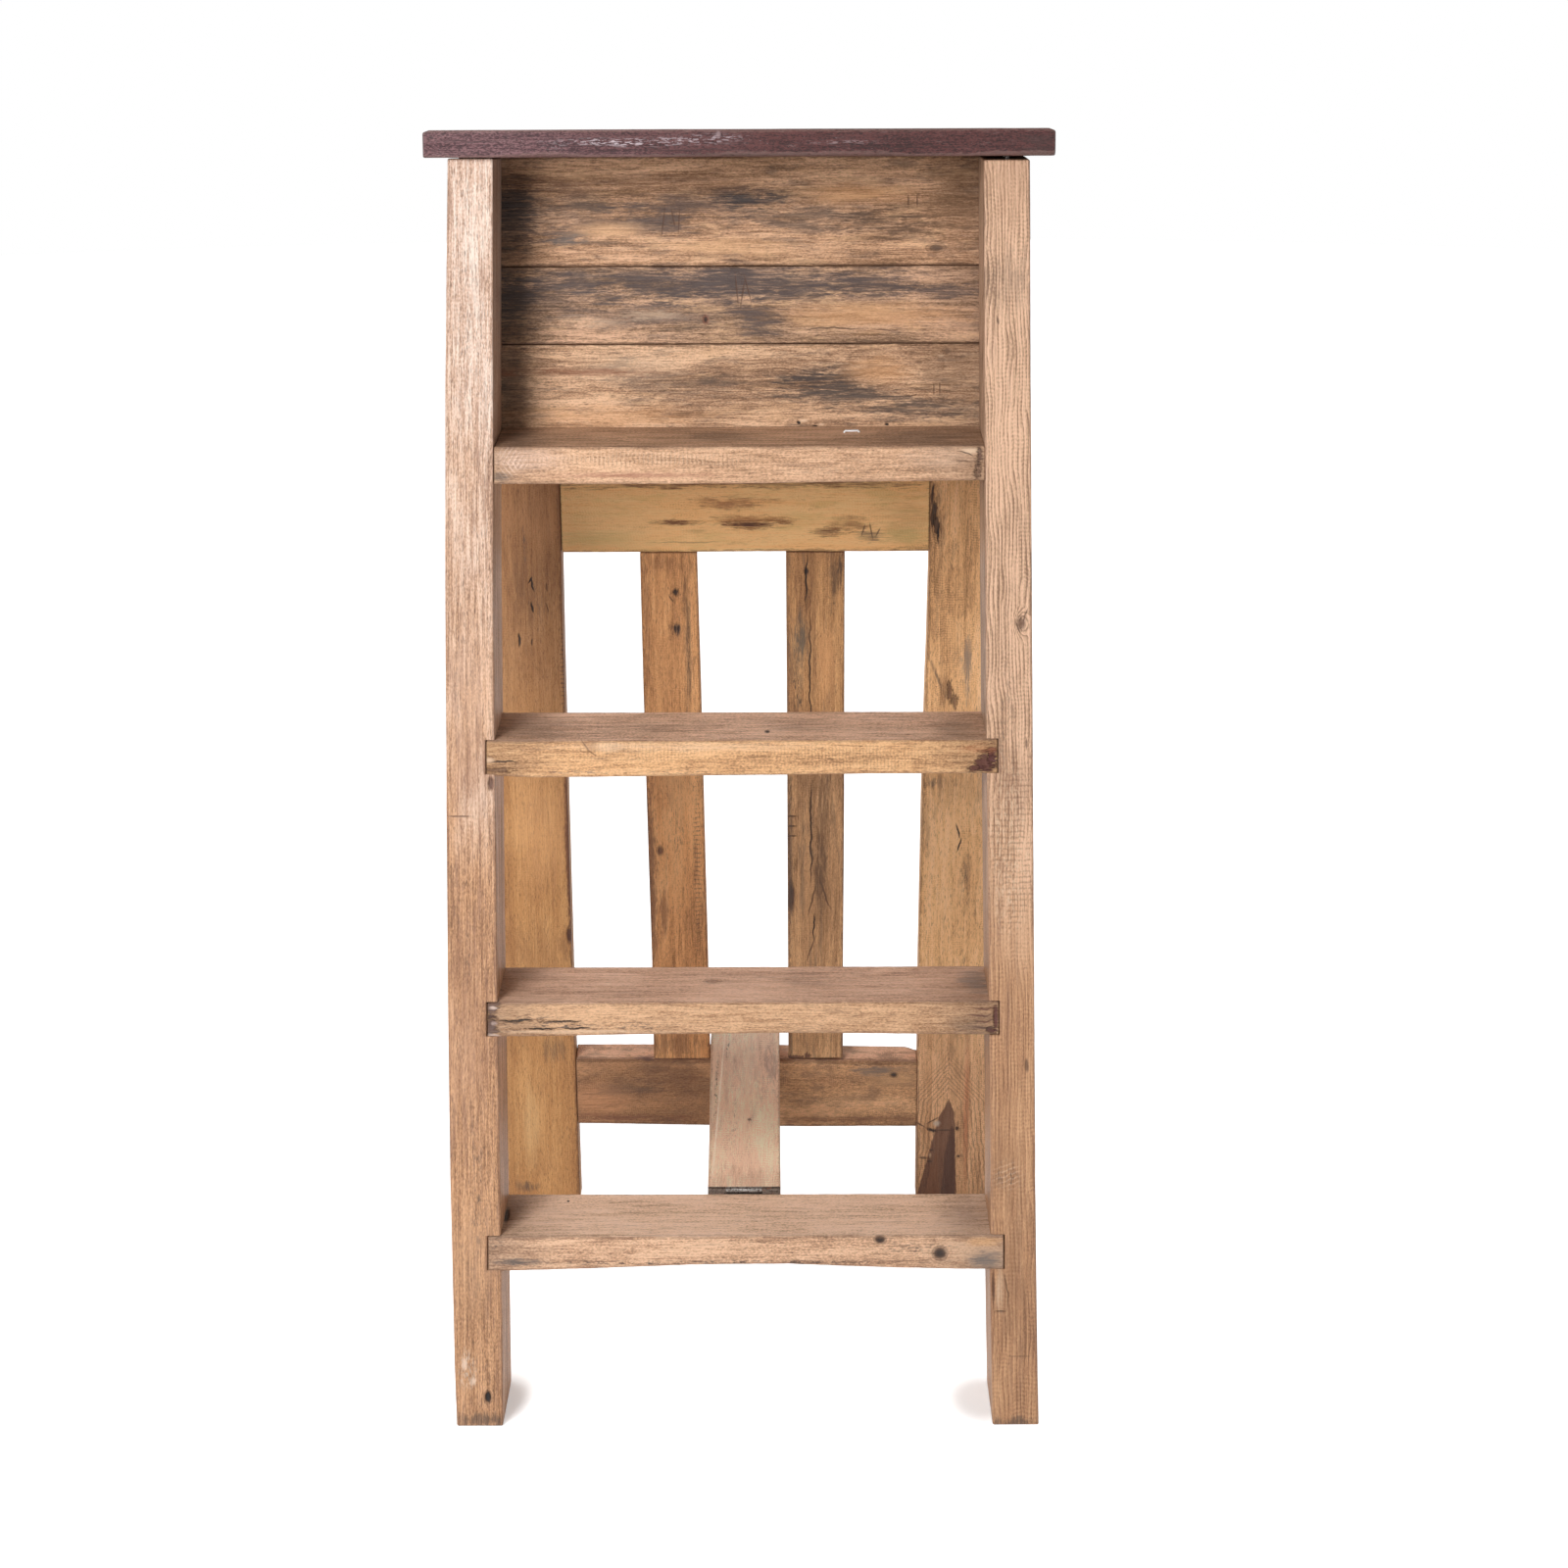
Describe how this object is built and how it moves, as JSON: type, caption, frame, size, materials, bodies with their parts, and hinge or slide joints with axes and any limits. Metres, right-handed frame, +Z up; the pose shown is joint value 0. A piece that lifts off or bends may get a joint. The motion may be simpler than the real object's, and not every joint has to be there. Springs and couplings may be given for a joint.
{
  "type": "plant ladder",
  "caption": "Folding reclaimed-wood plant ladder: leaning front frame with treads and a top board, hinged rear frame and a hinged stay board.",
  "frame": {"origin": "on the floor, at the middle of the ladder's footprint box", "axes": "+Z up, +Y from the front feet to the rear feet, +X to the right as seen from the front"},
  "size_m": [0.586, 0.5722, 1.1591],
  "materials": {
    "leg_wood": "rough sawn, pale pinkish tan reclaimed wood with raised grain",
    "tread_wood": "warm tan sawn edges and greyish brown worn tops",
    "plank_wood": "dark brown reclaimed planks with grey stains",
    "board_wood": "dark purple-brown old varnish with pale specks",
    "rear_wood": "yellowish brown weathered wood with knots and cracks",
    "stay_wood": "pinkish grey-brown sawn board",
    "hinge_steel": "dull grey steel"
  },
  "bodies": {
    "front_frame": {"left_front_leg": "leg_wood", "right_front_leg": "leg_wood", "tread_1": "tread_wood", "tread_2": "tread_wood", "tread_3": "tread_wood", "tread_4": "tread_wood", "top_board": "board_wood", "back_plank_upper": "plank_wood", "back_plank_middle": "plank_wood", "back_plank_lower": "plank_wood", "left_hinge_fixed_leaf": "hinge_steel", "right_hinge_fixed_leaf": "hinge_steel", "left_hinge_pin": "hinge_steel", "right_hinge_pin": "hinge_steel", "stay_hinge_fixed_leaf": "hinge_steel", "stay_hinge_pin": "hinge_steel", "board_screws": "hinge_steel", "tread_screws": "hinge_steel", "plank_nails": "hinge_steel", "hinge_fixed_screws": "hinge_steel", "stay_hinge_fixed_screws": "hinge_steel"},
    "rear_frame": {"left_rear_stile": "rear_wood", "right_rear_stile": "rear_wood", "rear_top_rail": "rear_wood", "rear_bottom_rail": "rear_wood", "left_slat": "rear_wood", "right_slat": "rear_wood", "left_hinge_moving_leaf": "hinge_steel", "right_hinge_moving_leaf": "hinge_steel", "hinge_moving_screws": "hinge_steel"},
    "stay": {"stay_board": "stay_wood", "stay_hinge_moving_leaf": "hinge_steel", "stay_hinge_moving_screws": "hinge_steel"}
  },
  "joints": [
    {"name": "rear_fold", "type": "hinge", "parent": "front_frame", "child": "rear_frame", "pos_m": [0, 0.13031, 1.08414], "axis": [-1, 0, 0], "range_deg": [0, 20]},
    {"name": "stay_lift", "type": "hinge", "parent": "front_frame", "child": "stay", "pos_m": [0, -0.14111, 0.17384], "axis": [1, 0, 0], "range_deg": [0, 72]}
  ],
  "couplings": [
    {"joint": "stay_lift", "follows": "rear_fold", "ratio": 3.6}
  ]
}
